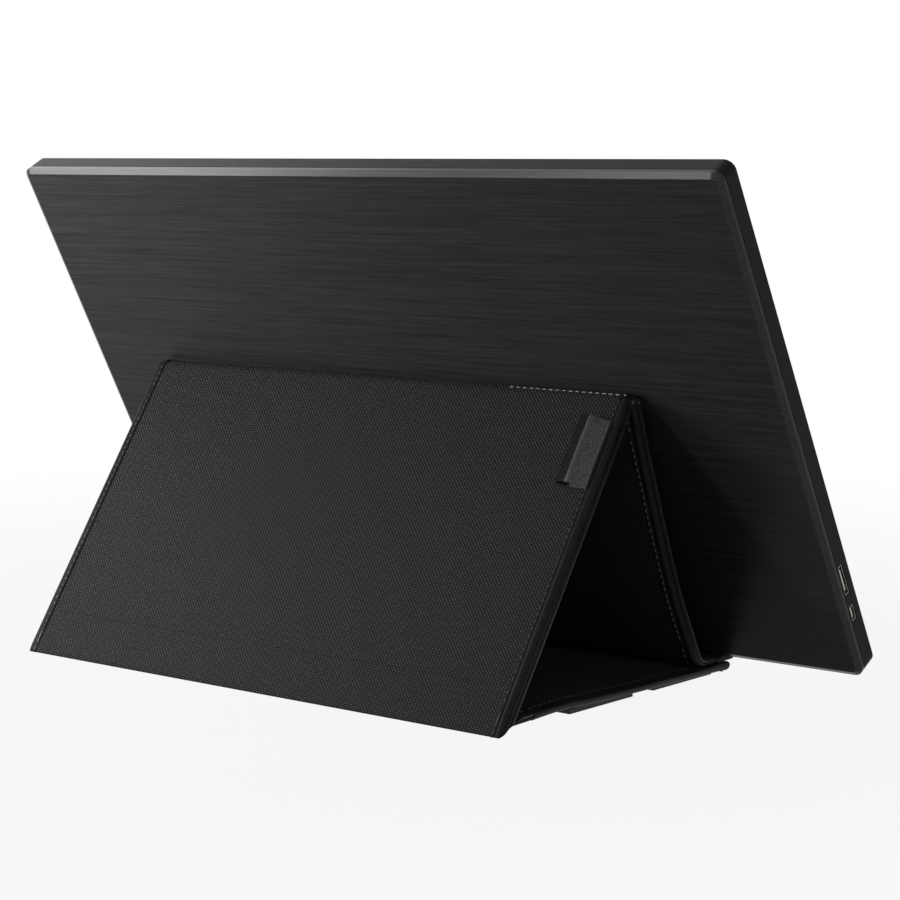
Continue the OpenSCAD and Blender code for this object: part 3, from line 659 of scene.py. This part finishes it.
def cloth_panel(name, s0, s1, thick, outer, inner, crown=0.0):
    """A padded stretch of the cover: cloth over board and foam, pulled down under its bindings."""
    x0, x1 = X_NEAR + BORDER - TUCK, X_FAR - BORDER + TUCK
    piece = block(name, (x0, s0, 0), (x1, s1, thick))
    cut(piece, 1, between(s0, s1))
    margin = [2.0, 3.5, 6, 10, 16, 26]
    across = [x0 + m for m in margin] + [x1 - m for m in margin]
    across += [x0 + (x1 - x0) * i / 8 for i in range(1, 8)]
    cut(piece, 0, sorted(across))
    for vertex in piece.data.vertices:
        x, s, t = vertex.co
        side = 1 if t > thick / 2 else -1
        from_edge = min(x - x0, x1 - x)
        rise = min(1, max(0, (from_edge - 1.0) / 12))
        rise = 1 - (1 - rise) ** 2
        vertex.co.z += side * crown * rise
    for material in (outer, inner):
        piece.data.materials.append(material)
    sew_in(piece, thick, lambda polygon: 0 if polygon.center.z > thick / 2 else 1)
    return piece


# Cross-section of the tape: height over its flat face at each distance in from the edge
TAPE_RISE = [(2.4, -0.05), (3.0, -0.22), (3.6, -0.2), (4.0, 0.16), (4.4, 0.06), (4.8, 0.2),
             (5.2, 0.05), (5.5, -0.4)]


def bead_at(s, thick):
    """Where the cord inside the tape's edge lies through the cover, and how far it stands out.

    It runs on the prism's side of the rear panel, over the apex, and down the monitor's side."""
    if thick < PANEL_T:
        return 0.5, 0.4
    over = min(max((s - APEX_S + 5) / (APEX_W + 8), 0), 1)
    return 0.2 + (thick - 0.4) * over, 1.1


def tape_profile(piece, thick, axis, edge, inward):
    """Rolls the tape's outer edge and raises its sewn border."""
    roll = 0.46 * (thick + 2 * PROUD)
    bevel_edges(piece, lambda a, b: abs(a[axis] - edge) < 0.01 and abs(b[axis] - edge) < 0.01
                and abs(a[1 - axis] - b[1 - axis]) > 0.5, roll, 9)
    cut(piece, axis, sorted(edge + inward * d for d, _ in TAPE_RISE[1:-1] if d > roll + 0.1))
    for vertex in piece.data.vertices:
        d = (vertex.co[axis] - edge) * inward
        side = 1 if vertex.co.z > thick / 2 else -1
        if abs(vertex.co.z - thick / 2) > thick / 2:
            vertex.co.z += side * through_marks(TAPE_RISE, d)


def corded(piece, thick, edge, inward):
    """Pushes the cord's bead out of a side tape's edge, with a shallow dip beside it."""
    for vertex in piece.data.vertices:
        d = (vertex.co.x - edge) * inward
        if d < 2.8:
            place, out = bead_at(vertex.co.y, thick)
            past = (vertex.co.z - place) / 1.0
            beside = (abs(vertex.co.z - place) - 2.2) / 0.8
            near = 1 - d / 2.8
            bulge = math.exp(-past * past) - 0.35 * math.exp(-beside * beside)
            vertex.co.x -= inward * out * bulge * near


def binding(name, s0, s1, thick, near):
    """A stretch of the coated tape that wraps the near or the far edge of the cover."""
    edge, inward = (X_NEAR, 1) if near else (X_FAR, -1)
    low, high = sorted((edge, edge + inward * BORDER))
    piece = block(name, (low, s0, -PROUD), (high, s1, thick + PROUD))
    tape_profile(piece, thick, 0, edge, inward)
    cut(piece, 1, between(s0, s1))
    corded(piece, thick, edge, inward)
    piece.data.materials.append(BINDING)
    piece.data.materials.append(GLOSSY_PIPING_PAINTED_HIGHLIGHT)

    # the cord's faces take the glossier tape that is lighter as a painted highlight
    def on_cord(polygon):
        place, out = bead_at(polygon.center.y, thick)
        at_edge = (polygon.center.x - edge) * inward < 2.0
        return 1 if at_edge and out > 0.5 and abs(polygon.center.z - place) < 1.1 else 0

    sew_in(piece, thick, on_cord)
    return piece


def end_binding(name, s_edge, inward, thick):
    """The same tape across the cover's front or lip edge."""
    low, high = sorted((s_edge, s_edge + inward * BORDER))
    piece = block(name, (X_NEAR + 0.8, low, -PROUD), (X_FAR - 0.8, high, thick + PROUD))
    tape_profile(piece, thick, 1, s_edge, inward)
    cut(piece, 0, [X_NEAR + 30 + 34 * i for i in range(7)])
    piece.data.materials.append(BINDING)
    sew_in(piece, thick)
    return piece


def joined(name, parts):
    """Makes several pieces one, without welding them."""
    bpy.ops.object.select_all(action="DESELECT")
    for part in parts:
        part.select_set(True)
    bpy.context.view_layer.objects.active = parts[0]
    if len(parts) > 1:
        bpy.ops.object.join()
    parts[0].name = name
    return parts[0]


def stitch(length, radius):
    """One stitch: a short thread that dives into the cloth at both ends."""
    bpy.ops.object.select_all(action="DESELECT")
    bpy.ops.mesh.primitive_uv_sphere_add(segments=8, ring_count=6, radius=1)
    piece = bpy.context.active_object
    piece.scale = (radius, length / 2, radius)
    bpy.ops.object.transform_apply(location=True, rotation=True, scale=True)
    return piece


def stitches(name, places, thick, turned=False, length=2.2, radius=0.27, thread=None):
    """Copies one stitch to its places on the flat cover and folds them all into place."""
    first = stitch(length, radius)
    if turned:
        for vertex in first.data.vertices:
            vertex.co.x, vertex.co.y = vertex.co.y, vertex.co.x
    copies = []
    for x, s, t in places:
        copy = bpy.data.objects.new(name, first.data.copy())
        bpy.context.scene.collection.objects.link(copy)
        for vertex in copy.data.vertices:
            vertex.co += Vector((x, s, t))
        copies.append(copy)
    bpy.data.objects.remove(first)
    piece = joined(name, copies)
    piece.data.materials.append(thread or THREAD)
    sew_in(piece, thick)
    return piece


STITCH_PITCH = 3.1
STITCH_OUT = 0.12  # how far a stitch's middle stands off the tape


def seam_places(s0, s1, thick):
    """Stitches down both faces of both side bindings."""
    count = int((s1 - s0) / STITCH_PITCH)
    start = s0 + (s1 - s0 - (count - 1) * STITCH_PITCH) / 2
    return [(x, start + i * STITCH_PITCH, t)
            for i in range(count)
            for x in (X_NEAR + STITCH_IN, X_FAR - STITCH_IN)
            for t in (thick + PROUD + STITCH_OUT, -PROUD - STITCH_OUT)]


# ---------------------------------------------------------------- the cover
# Where the cloth at each fold begins and ends
HEEL_IN, HEEL_OUT = BASE_END - 8, REAR_S + 12
APEX_IN, APEX_OUT = APEX_S - 13, SUPPORT_S + 13
FOLD_IN, FOLD_OUT = FOOTFOLD_S - 8, FOOT_S + 7
LIPF_IN, LIPF_OUT = LIPFOLD_S - 5, LIP_S + 5

STRETCHES = [
    # name, start, end, thickness, outer cloth, inner cloth, crown, the nodes it stands for
    ("base", 3, HEEL_IN, BASE_T, WEAVE, LINING, 0.05, ("base_shell", "base_lining")),
    ("heel", HEEL_IN, HEEL_OUT, PANEL_T, WEAVE, LINING, 0.1, ("heel_fold",)),
    ("rear_panel", HEEL_OUT, APEX_IN, PANEL_T, WEAVE, LINING, 0.25, ("rear_shell", "rear_lining")),
    ("apex", APEX_IN, APEX_OUT, PANEL_T, WEAVE, WEAVE, 0.2, ("apex_fold",)),
    ("support_panel", APEX_OUT, FOLD_IN, PANEL_T, LINING, WEAVE, 0.2,
     ("support_shell", "support_lining")),
    ("foot_bend", FOLD_IN, FOLD_OUT, PANEL_T, WEAVE, WEAVE, 0.05, ()),
    ("foot", FOLD_OUT, LIPF_IN, FOOT_T, WEAVE, WEAVE, 0.05, ("foot_sleeve",)),
    ("lip_bend", LIPF_IN, LIPF_OUT, FOOT_T, WEAVE, WEAVE, 0.05, ()),
    ("lip", LIPF_OUT, LIP_END - 3, FOOT_T, WEAVE, WEAVE, 0.05, ("lip_sleeve",)),
]
BODY_OF = {"base": "base", "rear_panel": "rear_panel", "support_panel": "support_panel",
           "foot": "foot", "lip": "lip"}


def world(p):
    """A point of the side profile, in metres."""
    return (0, p.x * MM, p.y * MM)


def fold(before, after, p, turn, half):
    """The two bodies that a bend joins, and its start and end: across the pivot p, along turn."""
    return before, after, world(p - half * unit(turn)), world(p + half * unit(turn))


BENDS = {
    "heel": fold("base", "rear_panel", REAR, REAR_DIR / 2, 7.5),
    "apex": fold("rear_panel", "support_panel", APEX, (REAR_DIR + SUPPORT_DIR) / 2, 10),
    "foot_bend": fold("support_panel", "foot", FOOT, (SUPPORT_DIR + math.pi) / 2, 6),
    "lip_bend": fold("foot", "lip", LIP, (LIP_DIR + math.pi) / 2, 4),
}


def mount(piece, stretch):
    """Lets a piece follow its body; a piece at a bend stays where it is folded, on neither body."""
    if stretch in BENDS:
        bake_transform(piece)
    else:
        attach(piece, BODY_OF[stretch])


BINDING_NODES = {"base": "base_binding", "rear_panel": "rear_binding",
                 "support_panel": "support_binding", "foot": "foot_binding", "lip": "lip_binding"}

for stretch, s0, s1, thick, outer, inner, crown, nodes in STRETCHES:
    cloth = cloth_panel(stretch + "_cloth", s0, s1, thick, outer, inner, crown)
    mount(cloth, stretch)
    if nodes:
        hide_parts(*nodes)
    low = 0 if stretch == "base" else s0
    high = LIP_END if stretch == "lip" else s1
    tapes = [binding("tape", low, high, thick, near) for near in (True, False)]
    if stretch == "base":
        tapes.append(end_binding("tape", 0, 1, thick))
    if stretch == "lip":
        tapes.append(end_binding("tape", LIP_END, -1, thick))
    tape = joined(stretch + "_tape", tapes)
    mount(tape, stretch)
    if stretch in BINDING_NODES:
        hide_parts(BINDING_NODES[stretch])
    seam = stitches(stretch + "_stitches", seam_places(low + 1, high - 1, thick), thick)
    mount(seam, stretch)


# ---------------------------------------------------------------- boards and foam of bent panels
def core(name, body, thick, s0, s1, t0, t1, finish, slot, node):
    """A die-cut sheet inside a panel, bent with it."""
    x0, x1 = X_NEAR + BORDER + 1, X_FAR - BORDER - 1
    piece = block(name, (x0, s0, t0), (x1, s1, t1))
    bevel_edges(piece, lambda a, b: abs(a.z - b.z) > 0.5, 4, 4)
    cut(piece, 1, between(s0, s1))
    piece.data.materials.append(finish)
    sew_in(piece, thick)
    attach(piece, body)
    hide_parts(node)


# a sheet's two faces, as heights through the cover
board_low, board_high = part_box("base_board")
BASE_BOARD = (REAR.y - board_high[2] / MM + 0.05, REAR.y - board_low[2] / MM - 0.05)
SUPPORT_BOARD = (1.0, 2.45)
SUPPORT_FOAM = (2.55, 4.2)
core("base_stiffener", "base", BASE_T, BORDER + 1, HEEL_IN - 1, *BASE_BOARD,
     FIBREBOARD, "stiffener", "base_board")
core("support_stiffener", "support_panel", PANEL_T, APEX_OUT + 1, FOLD_IN - 1, *SUPPORT_BOARD,
     FIBREBOARD, "stiffener", "support_board")
core("support_padding", "support_panel", PANEL_T, APEX_OUT + 1, FOLD_IN - 1, *SUPPORT_FOAM,
     FOAM, "padding", "support_foam")

# ---------------------------------------------------------------- pale seam along the apex
SEAM_STITCHES, SEAM_PITCH = 18, 3.35
seam_line = [(X_NEAR + 3.5 + SEAM_PITCH * i, APEX_S + 2.2, PANEL_T + 0.15)
             for i in range(SEAM_STITCHES)]
apex_seam = stitches("apex_seam", seam_line, PANEL_T, True, 2.3, 0.28, PALE_THREAD)
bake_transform(apex_seam)

# ---------------------------------------------------------------- label tag
# A strip of leather bent into a loop and sewn in under the binding: cut flat, then rolled along
# a path of [distance in from the binding, height over the panel]
LEATHER = 0.7
TAG_RISE = 4.5
TAG_FROM_APEX, TAG_L = 10, 31


def arc(x, h, r, a0, a1, count):
    """Points round a bend of the loop, from one angle to another."""
    angles = [math.radians(a0 + (a1 - a0) * i / count) for i in range(count + 1)]
    return [Vector((x + r * math.cos(a), h + r * math.sin(a))) for a in angles]


tag_low, tag_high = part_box("label_tag")
TAG_X, TAG_W = tag_low[0] / MM, (tag_high[0] - tag_low[0]) / MM
TAG_S = (APEX_S - TAG_FROM_APEX - TAG_L, APEX_S - TAG_FROM_APEX)
loop = [Vector((-1.5, 0.9)), Vector((0, 1.1))]
loop += arc(6.6, TAG_RISE - LEATHER / 2 - 2.2, 2.2, 118, 72, 6)
loop += arc(TAG_W - 1.3 - LEATHER / 2, 1.3 + LEATHER / 2, 1.3, 50, -90, 10)
loop += [Vector((6, LEATHER / 2)), Vector((0, LEATHER / 2)), Vector((-1.5, LEATHER / 2))]
loop_run = [0.0]
for a, b in zip(loop, loop[1:]):
    loop_run.append(loop_run[-1] + (b - a).length)


def rolled(u, w):
    """A point of the flat strip, u along it and w off its middle, on the loop."""
    last = len(loop) - 2
    i = next((k for k in range(last) if loop_run[k + 1] >= u - 1e-6), last)
    step = (loop[i + 1] - loop[i]) / (loop_run[i + 1] - loop_run[i])
    before = (loop[i] - loop[i - 1]).normalized() if i else step
    along = u - loop_run[i]
    # on a corner of the loop the leather stands square to both sides
    if along > 0.01 * (loop_run[i + 1] - loop_run[i]):
        out = Vector((-step.y, step.x))
    else:
        out = Vector((-step.y - before.y, step.x + before.x)).normalized()
    return loop[i] + step * along + out * w


tag = block("label_tag_leather", (0, TAG_S[0], -LEATHER / 2), (loop_run[-1], TAG_S[1], LEATHER / 2))
bevel_edges(tag, lambda a, b: abs(a.z - b.z) < 0.01 and abs(a.y - b.y) < 0.01
            and abs(a.x - b.x) > 1, 0.2, 2)
cut(tag, 0, loop_run[1:-1])
cut(tag, 1, [TAG_S[0] + TAG_L * i / 10 for i in range(1, 10)])
for vertex in tag.data.vertices:
    u, along, w = vertex.co
    p = rolled(u, w)
    middle = math.sin(math.pi * (along - TAG_S[0]) / TAG_L)
    vertex.co = (TAG_X + p.x, along + 0.09 * p.x, PANEL_T + p.y * (0.95 + 0.05 * middle))
tag.data.materials.append(TAG_LEATHER)
sew_in(tag, PANEL_T)
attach(tag, "rear_panel")
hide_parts("label_tag")


# ---------------------------------------------------------------- studio
def seen_white(tree):
    """One for rays from the camera, a glossy surface or a clear one; none for the soft light."""
    path = add(tree, "LightPath").outputs
    either = add(tree, "Math", {"operation": "MAXIMUM"},
                 {0: path["Is Camera Ray"], 1: path["Is Glossy Ray"]}).outputs["Value"]
    return add(tree, "Math", {"operation": "MAXIMUM"},
               {0: either, 1: path["Is Transmission Ray"]}).outputs["Value"]


bpy.ops.object.select_all(action="DESELECT")
bpy.ops.mesh.primitive_plane_add(size=24, location=(0, 0, 0))
floor = bpy.context.active_object
floor.name = "floor"
paper, paper_tree, paper_shader = finish_of("white paper sweep", "#909090", 0.9,
                                            Specular_IOR_Level=0.05)
glow = add(paper_tree, "Emission", {"Color": (1, 1, 1, 1), "Strength": 1.0})
# the paper glows wholly white away from the object, and keeps its shadow close to it
reach = add(paper_tree, "VectorMath", {"operation": "LENGTH"},
            {0: add(paper_tree, "TexCoord").outputs["Object"]})
fade = add(paper_tree, "MapRange",
           {"From Min": 0.2, "From Max": 0.8, "To Min": 0.9, "To Max": 1.0,
            "interpolation_type": "SMOOTHSTEP"}, {"Value": reach.outputs["Value"]})
glow_share = add(paper_tree, "Math", {"operation": "MULTIPLY"},
                 {0: seen_white(paper_tree), 1: fade.outputs["Result"]})
lit_paper = add(paper_tree, "MixShader", links={0: glow_share.outputs["Value"],
                                                1: paper_shader.outputs["BSDF"],
                                                2: glow.outputs["Emission"]})
paper_tree.links.new(lit_paper.outputs["Shader"],
                     paper_tree.nodes["Material Output"].inputs["Surface"])
floor.data.materials.append(paper)

world_light = bpy.data.worlds.new("studio")
bpy.context.scene.world = world_light
world_light.use_nodes = True
sky = world_light.node_tree
soft = sky.nodes["Background"]
soft.inputs["Color"].default_value = (1, 1, 1, 1)
soft.inputs["Strength"].default_value = 0.11
white = add(sky, "Background", {"Color": (1, 1, 1, 1), "Strength": 1.0})
mixed_sky = add(sky, "MixShader", links={0: seen_white(sky), 1: soft.outputs["Background"],
                                         2: white.outputs["Background"]})
sky.links.new(mixed_sky.outputs["Shader"], sky.nodes["World Output"].inputs["Surface"])


def soft_box(name, place, aim, size, power):
    """A rectangular lamp that points at a place; its size is in metres and its power in watts."""
    lamp = bpy.data.lights.new(name, "AREA")
    lamp.shape = "RECTANGLE"
    lamp.size, lamp.size_y = size
    lamp.energy = power
    holder = bpy.data.objects.new(name, lamp)
    holder.location = place
    direction = Vector(aim) - Vector(place)
    holder.rotation_euler = direction.to_track_quat("-Z", "Y").to_euler()
    bpy.context.scene.collection.objects.link(holder)


soft_box("rear_left", (0.42, 0.33, 0.25), (0.05, 0.03, 0.12), (0.2, 0.25), 2.3)
soft_box("rear", (0.24, 0.66, 0.24), (-0.13, 0.05, 0.2), (0.07, 0.07), 0.8)
soft_box("overhead", (0.4, -0.1, 1.3), (0, 0, 0.1), (0.9, 0.9), 3)
soft_box("top_left", (1.05, -0.35, 0.9), (0.15, 0.05, 0.2), (0.5, 0.5), 3)
soft_box("right", (-1.0, 0.55, 0.75), (-0.1, 0, 0.08), (0.4, 0.4), 2.0)
soft_box("front", (0.2, -1.5, 0.9), (0, 0, 0.1), (1.2, 1.0), 9)
